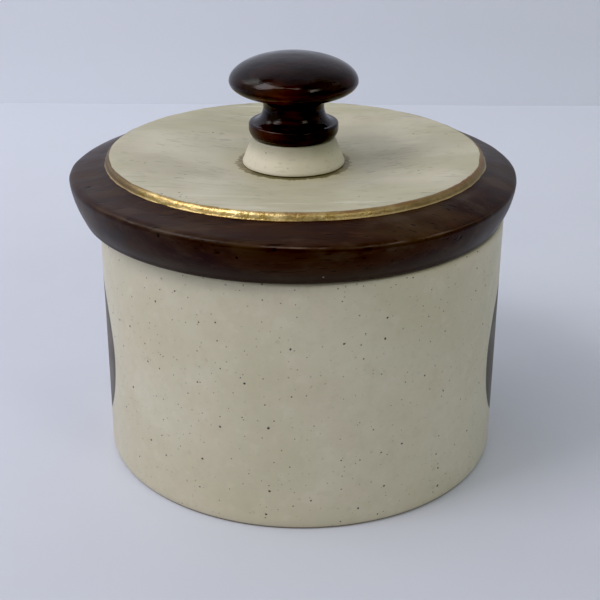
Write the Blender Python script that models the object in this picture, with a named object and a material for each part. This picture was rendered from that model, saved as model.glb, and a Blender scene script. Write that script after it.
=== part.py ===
"""Stoneware food canister with a turned wooden lid.

The jar stands on its flat base, with the frame's origin at the middle of that base and +Z up.
The lid lies loose on the jar's rim, a little to one side, as far as the locating plug allows.
It lifts straight up, and it turns about its own centre line.
"""

import math

import bmesh
import bpy

# ---- Driving dimensions, metres -------------------------------------------------------------
CLEARANCE = 0.0003  # left between pieces that touch

JAR_RADIUS = 0.0635
JAR_HEIGHT = 0.0793
JAR_WALL = 0.0055
JAR_FLOOR = 0.0060
JAR_HEEL = 0.0010  # chamfer round the foot
JAR_INNER_FILLET = 0.0060  # where the wall meets the floor inside
JAR_LIP_ROUND = 0.0014

LID_OFFSET = -0.0026  # the lid's centre line from the jar's, along X
SEAL_INNER_RADIUS = 0.0565
SEAL_OUTER_RADIUS = 0.0625
SEAL_HEIGHT = 0.0018
SEAL_PROUD = 0.0004  # how far the seal stands out of its groove

RING_FOOT_RADIUS = 0.0659
RING_RIDGE_RADIUS = 0.0694
RING_SEAT_RADIUS = 0.0600  # the rebate that holds the panel
RING_HOLE_RADIUS = 0.0520
RING_HEIGHT = 0.0163
RING_RIDGE_HEIGHT = 0.0118
RING_SHELF_HEIGHT = 0.0103
RING_BULGE = 0.0006  # the side below the ridge is slightly round
RING_FOOT_ROUND = 0.0008

PANEL_RIM_RISE = 0.0011  # the panel's rim above the wooden ring
PANEL_DISH = 0.0040  # the panel's middle below its rim
PANEL_EDGE_WIDTH = 0.0026
PANEL_EDGE_DROP = 0.0016
PANEL_FLAT_RADIUS = 0.0166  # the flat seat under the collar

COLLAR_BASE_RADIUS = 0.0159
COLLAR_TOP_RADIUS = 0.0130
COLLAR_HEIGHT = 0.0083
COLLAR_EDGE_ROUND = 0.0005

KNOB_HEIGHT = 0.0252
KNOB_HEAD_RADIUS = 0.0198
KNOB_HEAD_RISE = 0.0083  # the top above the head's widest point
KNOB_HEAD_FALL = 0.0060  # the underside's depth, as an ellipse
KNOB_WAIST_RADIUS = 0.0094
KNOB_WAIST_HEIGHT = 0.0092
KNOB_FILLET_RADIUS = 0.0116  # where the head's underside turns into the waist
KNOB_BEAD_RADIUS = 0.0139
KNOB_BEAD_HEIGHT = 0.0028
KNOB_FOOT_RADIUS = 0.0129

PLUG_RADIUS = 0.0545
PLUG_DEPTH = 0.0070  # the part that hangs inside the jar
PLUG_EDGE_ROUND = 0.0012

SCREW_SHANK_RADIUS = 0.0020
SCREW_HEAD_RADIUS = 0.0042
SCREW_HEAD_HEIGHT = 0.0025
SCREW_IN_KNOB = 0.0120
SCREW_SLOT = (0.0100, 0.0010, 0.0022)  # length, width and twice the depth
SCREW_HOLE_RADIUS = SCREW_SHANK_RADIUS + CLEARANCE
WASHER_RADIUS = 0.0068
WASHER_THICKNESS = 0.0010
COUNTERBORE_RADIUS = 0.0078
COUNTERBORE_DEPTH = 0.0050

JAR_SEGMENTS = 96
LID_SEGMENTS = 96
PLUG_SEGMENTS = 64
KNOB_SEGMENTS = 48
SCREW_SEGMENTS = 24

# ---- Heights that follow from them ----------------------------------------------------------
SEAL_BASE_Z = JAR_HEIGHT + CLEARANCE
RING_BASE_Z = SEAL_BASE_Z + SEAL_PROUD
RING_SHELF_Z = RING_BASE_Z + RING_SHELF_HEIGHT
RING_TOP_Z = RING_BASE_Z + RING_HEIGHT
PANEL_BASE_Z = RING_SHELF_Z + CLEARANCE
PANEL_RIM_Z = RING_TOP_Z + PANEL_RIM_RISE
PANEL_RADIUS = RING_SEAT_RADIUS - CLEARANCE
PANEL_MIDDLE_Z = PANEL_RIM_Z - PANEL_DISH
COLLAR_BASE_Z = PANEL_MIDDLE_Z + CLEARANCE
COLLAR_TOP_Z = COLLAR_BASE_Z + COLLAR_HEIGHT
KNOB_BASE_Z = COLLAR_TOP_Z + CLEARANCE
PLUG_FLANGE_Z = RING_BASE_Z - CLEARANCE
PLUG_BASE_Z = PLUG_FLANGE_Z - PLUG_DEPTH
PLUG_TOP_Z = PANEL_BASE_Z - CLEARANCE
WASHER_TOP_Z = PLUG_BASE_Z + COUNTERBORE_DEPTH - CLEARANCE
SCREW_SEAT_Z = WASHER_TOP_Z - WASHER_THICKNESS - CLEARANCE
SCREW_TIP_Z = KNOB_BASE_Z + SCREW_IN_KNOB

SMOOTH_ANGLE = math.radians(32)
MERGE_DISTANCE = 1e-6


def clear_scene():
    """An empty scene to build in."""
    for thing in list(bpy.data.objects):
        bpy.data.objects.remove(thing, do_unlink=True)


def material(name, colour, roughness, metallic=0.0):
    """A plain Principled material."""
    made = bpy.data.materials.new(name)
    made.use_nodes = True
    shader = made.node_tree.nodes["Principled BSDF"]
    shader.inputs["Base Color"].default_value = (*colour, 1.0)
    shader.inputs["Roughness"].default_value = roughness
    shader.inputs["Metallic"].default_value = metallic
    made.diffuse_color = (*colour, 1.0)
    return made


def arc(centre, radii, start, end, steps):
    """Points (r, z) along an ellipse's arc, angles in degrees from the +r direction."""
    points = []
    for step in range(steps + 1):
        angle = math.radians(start + (end - start) * step / steps)
        points.append((centre[0] + radii[0] * math.cos(angle), centre[1] + radii[1] * math.sin(angle)))
    return points


def revolve(mesh, profile, segments, closed):
    """Spins a profile of (r, z) points round the Z axis into one closed surface.

    The profile runs down the outer side from top to bottom. An open one starts and ends on the axis.
    """
    shape = bmesh.new()
    line = [shape.verts.new((r, 0.0, z)) for r, z in profile]
    ends = line[1:] + line[:1] if closed else line[1:]
    edges = [shape.edges.new(pair) for pair in zip(line, ends)]
    bmesh.ops.spin(
        shape,
        geom=line + edges,
        cent=(0.0, 0.0, 0.0),
        axis=(0.0, 0.0, 1.0),
        angle=2 * math.pi,
        steps=segments,
        use_merge=True,
    )
    bmesh.ops.remove_doubles(shape, verts=shape.verts[:], dist=MERGE_DISTANCE)
    bmesh.ops.recalc_face_normals(shape, faces=shape.faces[:])
    shape.to_mesh(mesh)
    shape.free()


def turned(name, profile, segments, finish, parent, closed=True):
    """A turned piece as its own object, on its parent's axis."""
    mesh = bpy.data.meshes.new(name)
    revolve(mesh, profile, segments, closed)
    mesh.shade_smooth()
    mesh.set_sharp_from_angle(angle=SMOOTH_ANGLE)
    mesh.materials.append(finish)
    piece = bpy.data.objects.new(name, mesh)
    bpy.context.collection.objects.link(piece)
    piece.parent = parent
    return piece


def axis_empty(name, x):
    """An empty on a vertical axis, for the pieces that share it."""
    empty = bpy.data.objects.new(name, None)
    empty.location = (x, 0.0, 0.0)
    bpy.context.collection.objects.link(empty)
    return empty


def jar_profile():
    """Half the jar's section: floor, inside wall, rounded lip, outside wall and flat base."""
    inner = JAR_RADIUS - JAR_WALL
    fillet = JAR_INNER_FILLET
    lip = JAR_LIP_ROUND
    points = [(0.0, JAR_FLOOR)]
    points += arc((inner - fillet, JAR_FLOOR + fillet), (fillet, fillet), -90, 0, 5)
    points += arc((inner + lip, JAR_HEIGHT - lip), (lip, lip), 180, 90, 3)
    points += arc((JAR_RADIUS - lip, JAR_HEIGHT - lip), (lip, lip), 90, 0, 3)
    points += [(JAR_RADIUS, JAR_HEEL), (JAR_RADIUS - JAR_HEEL, 0.0), (0.0, 0.0)]
    return points


def seal_profile():
    """The rubber ring's section: flat, with its lower edges eased."""
    ease = SEAL_PROUD
    top = SEAL_BASE_Z + SEAL_HEIGHT
    return [
        (SEAL_INNER_RADIUS, top),
        (SEAL_OUTER_RADIUS, top),
        (SEAL_OUTER_RADIUS, SEAL_BASE_Z + ease),
        (SEAL_OUTER_RADIUS - ease, SEAL_BASE_Z),
        (SEAL_INNER_RADIUS + ease, SEAL_BASE_Z),
        (SEAL_INNER_RADIUS, SEAL_BASE_Z + ease),
    ]


def ring_side(steps):
    """The ring's side from just under the ridge down to its foot, bulging outwards a little."""
    top = (RING_RIDGE_RADIUS - 0.0001, RING_BASE_Z + RING_RIDGE_HEIGHT - 0.0006)
    foot = (RING_FOOT_RADIUS, RING_BASE_Z + RING_FOOT_ROUND)
    points = []
    for step in range(steps + 1):
        share = step / steps
        bulge = RING_BULGE * 4 * share * (1 - share)
        points.append((top[0] + (foot[0] - top[0]) * share + bulge, top[1] + (foot[1] - top[1]) * share))
    return points


def ring_profile():
    """The wooden ring's section: sloping top, ridge, round side, grooved underside and rebate."""
    ridge_z = RING_BASE_Z + RING_RIDGE_HEIGHT
    groove_top = SEAL_BASE_Z + SEAL_HEIGHT + CLEARANCE
    foot = RING_FOOT_ROUND
    return (
        [(RING_SEAT_RADIUS, RING_TOP_Z)]
        + [(RING_RIDGE_RADIUS - 0.0016, ridge_z + 0.0009), (RING_RIDGE_RADIUS - 0.0005, ridge_z + 0.0002)]
        + ring_side(4)
        + [(RING_FOOT_RADIUS - 0.3 * foot, RING_BASE_Z + 0.3 * foot), (RING_FOOT_RADIUS - foot, RING_BASE_Z)]
        + [(SEAL_OUTER_RADIUS + CLEARANCE, RING_BASE_Z), (SEAL_OUTER_RADIUS + CLEARANCE, groove_top)]
        + [(SEAL_INNER_RADIUS - CLEARANCE, groove_top), (SEAL_INNER_RADIUS - CLEARANCE, RING_BASE_Z)]
        + [(RING_HOLE_RADIUS, RING_BASE_Z), (RING_HOLE_RADIUS, RING_SHELF_Z)]
        + [(RING_SEAT_RADIUS, RING_SHELF_Z)]
    )


def panel_profile():
    """The panel's section: a flat middle, a shallow dish and a rounded rim."""
    crest = PANEL_RADIUS - PANEL_EDGE_WIDTH
    dish = []
    steps = 6
    for step in range(steps + 1):
        share = step / steps
        r = PANEL_FLAT_RADIUS + (crest - PANEL_FLAT_RADIUS) * share
        dish.append((r, PANEL_MIDDLE_Z + PANEL_DISH * math.sin(math.pi / 2 * share) ** 1.5))
    edge = arc((crest, PANEL_RIM_Z - PANEL_EDGE_DROP), (PANEL_EDGE_WIDTH, PANEL_EDGE_DROP), 90, 0, 4)
    hole = SCREW_HOLE_RADIUS
    return [(hole, PANEL_MIDDLE_Z)] + dish + edge[1:] + [(PANEL_RADIUS, PANEL_BASE_Z), (hole, PANEL_BASE_Z)]


def collar_profile():
    """The collar under the knob: a cone with a hole for the screw."""
    ease = COLLAR_EDGE_ROUND
    return [
        (SCREW_HOLE_RADIUS, COLLAR_TOP_Z),
        (COLLAR_TOP_RADIUS - ease, COLLAR_TOP_Z),
        (COLLAR_TOP_RADIUS, COLLAR_TOP_Z - ease),
        (COLLAR_BASE_RADIUS, COLLAR_BASE_Z + ease),
        (COLLAR_BASE_RADIUS - 0.2 * ease, COLLAR_BASE_Z),
        (SCREW_HOLE_RADIUS, COLLAR_BASE_Z),
    ]


def knob_profile():
    """The knob's section: flattened head, waist, bead and the blind hole for the screw."""
    head_z = KNOB_BASE_Z + KNOB_HEIGHT - KNOB_HEAD_RISE
    waist_z = KNOB_BASE_Z + KNOB_WAIST_HEIGHT
    bead_z = KNOB_BASE_Z + KNOB_BEAD_HEIGHT
    under = math.degrees(math.acos(KNOB_FILLET_RADIUS / KNOB_HEAD_RADIUS))
    fillet_z = head_z - KNOB_HEAD_FALL * math.sin(math.radians(under))
    fillet = KNOB_FILLET_RADIUS - KNOB_WAIST_RADIUS
    shoulder = (KNOB_BEAD_RADIUS - 0.0008, bead_z + 0.0016)
    cove = (shoulder[0] - KNOB_WAIST_RADIUS, waist_z - shoulder[1])
    hole_top = SCREW_TIP_Z + CLEARANCE
    points = arc((0.0, head_z), (KNOB_HEAD_RADIUS, KNOB_HEAD_RISE), 90, 0, 10)
    points[0] = (0.0, head_z + KNOB_HEAD_RISE)
    points += arc((0.0, head_z), (KNOB_HEAD_RADIUS, KNOB_HEAD_FALL), 0, -under, 5)[1:]
    points += arc((KNOB_FILLET_RADIUS, waist_z), (fillet, fillet_z - waist_z), 90, 180, 3)[1:]
    points += arc((shoulder[0], waist_z), cove, 180, 270, 5)[1:]
    points += [(KNOB_BEAD_RADIUS, bead_z + 0.0006), (KNOB_BEAD_RADIUS, bead_z - 0.0010)]
    points += [(KNOB_BEAD_RADIUS - 0.0003, bead_z - 0.0020), (KNOB_FOOT_RADIUS, KNOB_BASE_Z)]
    points += [(SCREW_HOLE_RADIUS, KNOB_BASE_Z), (SCREW_HOLE_RADIUS, hole_top), (0.0, hole_top)]
    return points


def plug_profile():
    """The locating plug: a flange inside the jar, a spigot in the ring and a counterbored hole."""
    ease = PLUG_EDGE_ROUND
    spigot = RING_HOLE_RADIUS - CLEARANCE
    floor = PLUG_BASE_Z + COUNTERBORE_DEPTH
    return (
        [(SCREW_HOLE_RADIUS, PLUG_TOP_Z), (spigot, PLUG_TOP_Z), (spigot, PLUG_FLANGE_Z)]
        + [(PLUG_RADIUS, PLUG_FLANGE_Z)]
        + arc((PLUG_RADIUS - ease, PLUG_BASE_Z + ease), (ease, ease), 0, -90, 3)
        + [(COUNTERBORE_RADIUS, PLUG_BASE_Z), (COUNTERBORE_RADIUS, floor), (SCREW_HOLE_RADIUS, floor)]
    )


def washer_profile():
    """A flat washer."""
    base = WASHER_TOP_Z - WASHER_THICKNESS
    return [
        (SCREW_HOLE_RADIUS, WASHER_TOP_Z),
        (WASHER_RADIUS, WASHER_TOP_Z),
        (WASHER_RADIUS, base),
        (SCREW_HOLE_RADIUS, base),
    ]


def screw_profile():
    """The screw, head down: pointed shank and domed head."""
    shank = SCREW_SHANK_RADIUS
    dome = (SCREW_HEAD_RADIUS, 0.6 * SCREW_HEAD_HEIGHT)
    head = arc((0.0, SCREW_SEAT_Z - SCREW_HEAD_HEIGHT + dome[1]), dome, 0, -90, 4)
    head[-1] = (0.0, SCREW_SEAT_Z - SCREW_HEAD_HEIGHT)
    return (
        [(0.0, SCREW_TIP_Z), (0.5 * shank, SCREW_TIP_Z), (shank, SCREW_TIP_Z - shank)]
        + [(shank, SCREW_SEAT_Z), (SCREW_HEAD_RADIUS, SCREW_SEAT_Z)]
        + head
    )


def slot_cutter(parent):
    """The block that cuts the screw's driving slot."""
    mesh = bpy.data.meshes.new("slot_cutter")
    shape = bmesh.new()
    bmesh.ops.create_cube(shape, size=1.0)
    bmesh.ops.scale(shape, vec=SCREW_SLOT, verts=shape.verts[:])
    shape.to_mesh(mesh)
    shape.free()
    cutter = bpy.data.objects.new("slot_cutter", mesh)
    cutter.location = (0.0, 0.0, SCREW_SEAT_Z - SCREW_HEAD_HEIGHT)
    cutter.parent = parent
    cutter.hide_render = True
    cutter.display_type = "WIRE"
    bpy.context.collection.objects.link(cutter)
    return cutter


def build_jar():
    """The stoneware jar, on the frame's own axis."""
    glaze = material("speckled_glaze", (0.60, 0.57, 0.46), 0.28)
    turned("jar_body", jar_profile(), JAR_SEGMENTS, glaze, axis_empty("jar_axis", 0.0), closed=False)


def build_lid():
    """Everything that lifts off with the lid, on the lid's own axis."""
    wood = material("stained_wood", (0.045, 0.022, 0.015), 0.35)
    cream = material("cream_painted_wood", (0.56, 0.53, 0.41), 0.45)
    knob_wood = material("polished_stained_wood", (0.022, 0.010, 0.008), 0.16)
    bare_wood = material("bare_wood", (0.42, 0.27, 0.15), 0.60)
    rubber = material("rubber", (0.06, 0.055, 0.05), 0.70)
    steel = material("zinc_plated_steel", (0.55, 0.55, 0.54), 0.35, 1.0)
    axis = axis_empty("lid_axis", LID_OFFSET)
    turned("seal_ring", seal_profile(), LID_SEGMENTS, rubber, axis)
    turned("lid_ring", ring_profile(), LID_SEGMENTS, wood, axis)
    turned("lid_panel", panel_profile(), LID_SEGMENTS, cream, axis)
    turned("knob_collar", collar_profile(), KNOB_SEGMENTS, cream, axis)
    turned("knob", knob_profile(), KNOB_SEGMENTS, knob_wood, axis, closed=False)
    turned("lid_plug", plug_profile(), PLUG_SEGMENTS, bare_wood, axis)
    turned("screw_washer", washer_profile(), SCREW_SEGMENTS, steel, axis)
    screw = turned("knob_screw", screw_profile(), SCREW_SEGMENTS, steel, axis, closed=False)
    slot = screw.modifiers.new("driving_slot", "BOOLEAN")
    slot.operation = "DIFFERENCE"
    slot.solver = "EXACT"
    slot.object = slot_cutter(axis)


def build():
    """The whole canister."""
    clear_scene()
    build_jar()
    build_lid()


build()
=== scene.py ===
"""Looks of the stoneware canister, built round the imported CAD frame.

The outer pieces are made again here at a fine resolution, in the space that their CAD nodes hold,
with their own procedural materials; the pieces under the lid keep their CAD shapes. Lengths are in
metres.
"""

import math

import bpy
from mathutils import Matrix, Vector, noise


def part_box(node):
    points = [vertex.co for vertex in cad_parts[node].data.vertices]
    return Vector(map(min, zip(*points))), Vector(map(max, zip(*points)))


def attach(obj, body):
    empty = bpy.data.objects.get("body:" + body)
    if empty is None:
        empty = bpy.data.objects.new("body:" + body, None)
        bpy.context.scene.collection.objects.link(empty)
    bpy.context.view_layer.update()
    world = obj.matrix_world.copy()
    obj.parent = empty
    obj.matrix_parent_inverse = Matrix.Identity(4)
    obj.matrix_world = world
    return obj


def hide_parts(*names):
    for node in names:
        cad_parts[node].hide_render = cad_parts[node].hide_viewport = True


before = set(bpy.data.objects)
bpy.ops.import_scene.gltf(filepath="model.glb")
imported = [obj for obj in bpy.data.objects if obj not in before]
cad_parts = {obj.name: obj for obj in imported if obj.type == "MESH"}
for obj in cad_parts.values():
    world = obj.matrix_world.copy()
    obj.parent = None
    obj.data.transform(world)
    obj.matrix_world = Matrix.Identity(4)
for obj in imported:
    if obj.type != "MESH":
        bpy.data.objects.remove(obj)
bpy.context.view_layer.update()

# ---- Places, read from the frame --------------------------------------------------------------
JAR_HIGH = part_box("jar_body")[1]
RING_LOW, RING_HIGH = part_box("lid_ring")
PANEL_LOW, PANEL_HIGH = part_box("lid_panel")
COLLAR_LOW, COLLAR_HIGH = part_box("knob_collar")
KNOB_LOW, KNOB_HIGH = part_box("knob")
SCREW_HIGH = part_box("knob_screw")[1]
LID_X = (RING_LOW.x + RING_HIGH.x) / 2

JAR_RADIUS = JAR_HIGH.x
JAR_HEIGHT = JAR_HIGH.z
RING_RADIUS = RING_HIGH.y
COLLAR_RADIUS = COLLAR_HIGH.y
KNOB_RADIUS = KNOB_HIGH.y

# ---- Small dimensions: those of the CAD model, or nearer the photo where a note says so --------
JAR_WALL = 0.0055
JAR_FLOOR = 0.0060
JAR_HEEL = 0.0010
JAR_INNER_FILLET = 0.0060
JAR_LIP_ROUND = 0.0014
SPOT_RADIUS = 0.0265
SPOT_HEIGHT = 0.0365

RING_FOOT_RADIUS = 0.0659
RING_FOOT_ROUND = 0.0008
RING_SEAT_RADIUS = 0.05855  # smaller than in the CAD
RING_SEAT_DROP = 0.0008  # the inner edge lies this far below the CAD's
RING_HOLE_RADIUS = 0.0520
RING_SHELF_HEIGHT = 0.0103
RING_BULGE = 0.0006
RIDGE_HEIGHT = 0.0118
RIDGE_ROUND = 0.0016
RIDGE_WARP = 0.0011  # the ridge is higher by this on the front left and lower on the front right
RIDGE_WARP_RADIUS = 0.0620  # the warp fades out inwards to this radius
RIDGE_WARP_DEPTH = 0.0080  # and down the side over this height
SEAL_GROOVE = (0.0562, 0.0628, 0.0017)  # inner radius, outer radius and depth

PANEL_X = LID_X + 0.0005  # the panel sits a little off the ring's centre
PANEL_SHIFT_RADIUS = 0.0670  # the ring's top follows the panel's shift inside this radius
PANEL_DISH = 0.0040
PANEL_RADIUS = RING_SEAT_RADIUS - 0.0001
PANEL_EDGE_WIDTH = 0.0016
PANEL_EDGE_DROP = 0.0019
PANEL_FLAT_RADIUS = 0.0166
GOLD_WIDTH = 0.00155
GOLD_THICKNESS = 0.00010

COLLAR_TOP_RADIUS = 0.0130
SCREW_HOLE_RADIUS = 0.0023

KNOB_HEAD_RISE = 0.0083
KNOB_HEAD_FALL = 0.0060
KNOB_WAIST_RADIUS = 0.0094
KNOB_WAIST_HEIGHT = 0.0092
KNOB_FILLET_RADIUS = 0.0116
KNOB_BEAD_RADIUS = 0.0139
KNOB_BEAD_HEIGHT = 0.0028
KNOB_BEAD_ROUND = 0.0008
KNOB_FOOT_RADIUS = 0.0129

# ---- Camera and stage -------------------------------------------------------------------------
CAMERA_PLACE = (0.00118, -0.37095, 0.21184)
CAMERA_PITCH = 0.41993  # below the horizon, radians
CAMERA_YAW = -0.00433
CAMERA_ROLL = 0.004
CAMERA_LENS = 74.44
LIGHT_TARGET = (0.0, 0.0, 0.06)
BLACK_POINT = 0.012  # the camera's deep shadows
WALL_Y = 0.414
WALL_TOP = 2.4
STEP_HEIGHT = 0.08
STAGE_REACH = 3.0  # how far the floor runs to each side, forwards and back
PAPER = (0.62, 0.645, 0.700)


# ==== Geometry =================================================================================
def arc(centre, radii, start, end, steps):
    """Points (r, z) along an ellipse's arc, angles in degrees from the +r direction."""
    points = []
    for step in range(steps + 1):
        angle = math.radians(start + (end - start) * step / steps)
        r = centre[0] + radii[0] * math.cos(angle)
        z = centre[1] + radii[1] * math.sin(angle)
        points.append((r, z))
    return points


def resampled(points, longest):
    """The same outline with no step longer than this, so that relief has points to move."""
    fine = [points[0]]
    for (r0, z0), (r1, z1) in zip(points, points[1:]):
        steps = max(1, math.ceil(math.hypot(r1 - r0, z1 - z0) / longest))
        shares = [i / steps for i in range(1, steps + 1)]
        fine += [(r0 + (r1 - r0) * share, z0 + (z1 - z0) * share) for share in shares]
    return fine


def outward(profile, index, closed):
    """The outline's outward normal at a point, for an outline that runs down its outer side."""
    last = len(profile) - 1
    before = profile[index - 1] if index > 0 or closed else profile[0]
    after = profile[(index + 1) % len(profile)] if index < last or closed else profile[last]
    along = (after[0] - before[0], after[1] - before[1])
    length = math.hypot(*along) or 1.0
    return (-along[1] / length, along[0] / length)


def linked_piece(name, verts, faces):
    """A new smooth-shaded object in the scene."""
    mesh = bpy.data.meshes.new(name)
    mesh.from_pydata(verts, [], faces)
    mesh.validate()
    mesh.shade_smooth()
    piece = bpy.data.objects.new(name, mesh)
    bpy.context.scene.collection.objects.link(piece)
    return piece


def turned(name, profile, segments, centre_x, closed=True, relief=None):
    """A turned mesh. relief(x, y, z, r) gives how far a point moves along its normal, in metres.

    An open outline starts and ends on the axis, where its rings of points shrink to one.
    """
    verts, rings = [], []
    for index, (r, z) in enumerate(profile):
        normal = outward(profile, index, closed)
        if r < 1e-6:
            rings.append([len(verts)] * segments)
            verts.append((centre_x, 0.0, z))
            continue
        rings.append(list(range(len(verts), len(verts) + segments)))
        for step in range(segments):
            angle = 2 * math.pi * step / segments
            across, along = math.cos(angle), math.sin(angle)
            move = relief(r * across, r * along, z, r) if relief else 0.0
            radius = r + move * normal[0]
            verts.append((centre_x + radius * across, radius * along, z + move * normal[1]))
    faces = []
    pairs = list(zip(rings, rings[1:])) + ([(rings[-1], rings[0])] if closed else [])
    for upper, lower in pairs:
        for step in range(segments):
            following = (step + 1) % segments
            corners = [upper[step], lower[step], lower[following], upper[following]]
            faces.append([c for i, c in enumerate(corners) if c not in corners[:i]])
    piece = linked_piece(name, verts, faces)
    piece.data.set_sharp_from_angle(angle=math.radians(38))
    return piece


def wobble(x, y, z, size, seed=0.0):
    """Smooth noise between about -1 and 1 whose lumps are about this size."""
    return noise.noise(Vector((x / size + seed, y / size - seed, z / size + 2 * seed)))


# ==== Material helpers =========================================================================
class Look:
    """A material whose nodes are added by short calls. Masks run from 0 to 1."""

    def __init__(self, name):
        self.material = bpy.data.materials.new(name)
        self.material.use_nodes = True
        self.tree = self.material.node_tree
        self.shader = self.tree.nodes["Principled BSDF"]
        self.position = self.node("ShaderNodeTexCoord").outputs["Object"]

    def node(self, kind, **settings):
        made = self.tree.nodes.new(kind)
        for key, value in settings.items():
            setattr(made, key, value)
        return made

    def feed(self, socket, value):
        """Links a socket, or sets a constant."""
        if isinstance(value, bpy.types.NodeSocket):
            self.tree.links.new(value, socket)
        elif hasattr(value, "__len__") and len(value) == 3 and socket.type == "RGBA":
            socket.default_value = (*value, 1.0)
        else:
            socket.default_value = value

    def math(self, operation, a, b=0.0, clamp=False):
        made = self.node("ShaderNodeMath", operation=operation, use_clamp=clamp)
        self.feed(made.inputs[0], a)
        self.feed(made.inputs[1], b)
        return made.outputs[0]

    def plus(self, a, b):
        return self.math("ADD", a, b)

    def minus(self, a, b):
        return self.math("SUBTRACT", a, b)

    def times(self, a, b):
        return self.math("MULTIPLY", a, b)

    def length(self, a, b):
        """The length of the vector (a, b)."""
        return self.math("SQRT", self.plus(self.times(a, a), self.times(b, b)))

    def vector(self, scale=(1, 1, 1), offset=(0, 0, 0)):
        """Object coordinates, stretched and moved."""
        made = self.node("ShaderNodeMapping")
        self.feed(made.inputs["Vector"], self.position)
        made.inputs["Location"].default_value = offset
        made.inputs["Scale"].default_value = scale
        return made.outputs[0]

    def joined(self, x, y, z=0.0):
        """A vector from its parts."""
        made = self.node("ShaderNodeCombineXYZ")
        for socket, value in zip(made.inputs, (x, y, z)):
            self.feed(socket, value)
        return made.outputs[0]

    def parts(self, source=None):
        """x, y and z of a vector, or of the object coordinates."""
        made = self.node("ShaderNodeSeparateXYZ")
        self.feed(made.inputs[0], source or self.position)
        return made.outputs[0], made.outputs[1], made.outputs[2]

    def radius(self, centre_x):
        """Distance from a vertical axis."""
        x, y, _ = self.parts()
        return self.length(self.minus(x, centre_x), y)

    def noise(self, scale, source=None, detail=3.0, roughness=0.5, distortion=0.0):
        made = self.node("ShaderNodeTexNoise")
        self.feed(made.inputs["Vector"], source or self.position)
        self.feed(made.inputs["Scale"], scale)
        self.feed(made.inputs["Detail"], detail)
        self.feed(made.inputs["Roughness"], roughness)
        self.feed(made.inputs["Distortion"], distortion)
        return made.outputs[0]

    def stretched(self, scale, offset=(0, 0, 0), **settings):
        """Noise with its own scale along x, y and z, as wood grain has."""
        return self.noise(1.0, self.vector(scale, offset), **settings)

    def cells(self, scale, source):
        """A flat Voronoi texture's distance and cell colour, over the vector's x and y."""
        made = self.node("ShaderNodeTexVoronoi", voronoi_dimensions="2D")
        self.feed(made.inputs["Vector"], source)
        self.feed(made.inputs["Scale"], scale)
        return made.outputs["Distance"], made.outputs["Color"]

    def band(self, value, low, high, to_low=0.0, to_high=1.0, kind="SMOOTHSTEP"):
        """value mapped from low..high to to_low..to_high, and held beyond."""
        made = self.node("ShaderNodeMapRange", interpolation_type=kind)
        for socket, number in zip(made.inputs, (value, low, high, to_low, to_high)):
            self.feed(socket, number)
        return made.outputs[0]

    def mix(self, share, a, b):
        made = self.node("ShaderNodeMix", data_type="RGBA")
        self.feed(made.inputs[0], share)
        self.feed(made.inputs[6], a)
        self.feed(made.inputs[7], b)
        return made.outputs[2]

    def over(self, colour, mask, share, tone):
        """colour, with this share of another tone over it where the mask is 1."""
        return self.mix(self.times(mask, share), colour, tone)

    def marks(self, spots, blur=0.35):
        """A mask of small round marks. Each is (x, y, z, radius)."""
        total = 0.0
        for x, y, z, radius in spots:
            away = self.node("ShaderNodeVectorMath", operation="DISTANCE")
            self.feed(away.inputs[0], self.position)
            away.inputs[1].default_value = (x, y, z)
            edges = (radius * (1 - blur), radius * (1 + blur))
            inside = self.band(away.outputs["Value"], *edges, 1.0, 0.0)
            total = self.math("MAXIMUM", total, inside)
        return total

    def bump(self, height, distance):
        made = self.node("ShaderNodeBump")
        self.feed(made.inputs["Height"], height)
        made.inputs["Distance"].default_value = distance
        made.inputs["Strength"].default_value = 1.0
        return made.outputs[0]

    def finish(self, colour, roughness, normal=None, metallic=0.0, specular=0.5, sheen_tint=None):
        """Connects the surface. Specular and its tint are constants on the shader itself."""
        self.feed(self.shader.inputs["Base Color"], colour)
        self.feed(self.shader.inputs["Roughness"], roughness)
        self.feed(self.shader.inputs["Metallic"], metallic)
        self.shader.inputs["Specular IOR Level"].default_value = specular
        if sheen_tint:
            self.shader.inputs["Specular Tint"].default_value = (*sheen_tint, 1.0)
        if normal is not None:
            self.feed(self.shader.inputs["Normal"], normal)
        return self.material


# ==== Materials ================================================================================
def on_lid(degrees, r, z, size):
    """A mark on the lid: angle from the front towards +X, distance from the lid's centre line."""
    angle = math.radians(degrees)
    return (LID_X + r * math.sin(angle), -r * math.cos(angle), z, size)


def specks(look, scale, share, size, source):
    """A mask of round specks in some cells of a grid.

    share is the part of the cells with a speck, and size its radius as a share of the cell.
    """
    distance, colour = look.cells(scale, source)
    red, green, _ = look.parts(colour)
    chosen = look.math("LESS_THAN", red, share)
    radius = look.band(green, 0.0, 1.0, 0.35 * size, size, kind="LINEAR")
    return look.times(chosen, look.band(look.minus(radius, distance), -0.3 * size, 0.3 * size))


def unrolled(look):
    """Flat coordinates for the jar: round the wall and up it, and x and y on its floors."""
    x, y, z = look.parts()
    wall = look.joined(look.times(look.math("ARCTAN2", y, x), JAR_RADIUS), z)
    floor_radius = JAR_RADIUS - JAR_WALL - JAR_INNER_FILLET / 2
    made = look.node("ShaderNodeMix", data_type="VECTOR")
    look.feed(made.inputs[0], look.math("GREATER_THAN", look.radius(0.0), floor_radius))
    look.feed(made.inputs[4], look.joined(x, y))
    look.feed(made.inputs[5], wall)
    return made.outputs[1]


def warped(look, scale, amount, source=None):
    """Coordinates pushed about by noise, so that round marks come out uneven."""
    push = look.node("ShaderNodeVectorMath", operation="MULTIPLY_ADD")
    colour = look.node("ShaderNodeTexNoise")
    look.feed(colour.inputs["Scale"], scale)
    look.feed(colour.inputs["Vector"], look.position)
    look.feed(push.inputs[0], colour.outputs["Color"])
    push.inputs[1].default_value = (amount, amount, amount)
    look.feed(push.inputs[2], source or look.position)
    return push.outputs[0]


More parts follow.
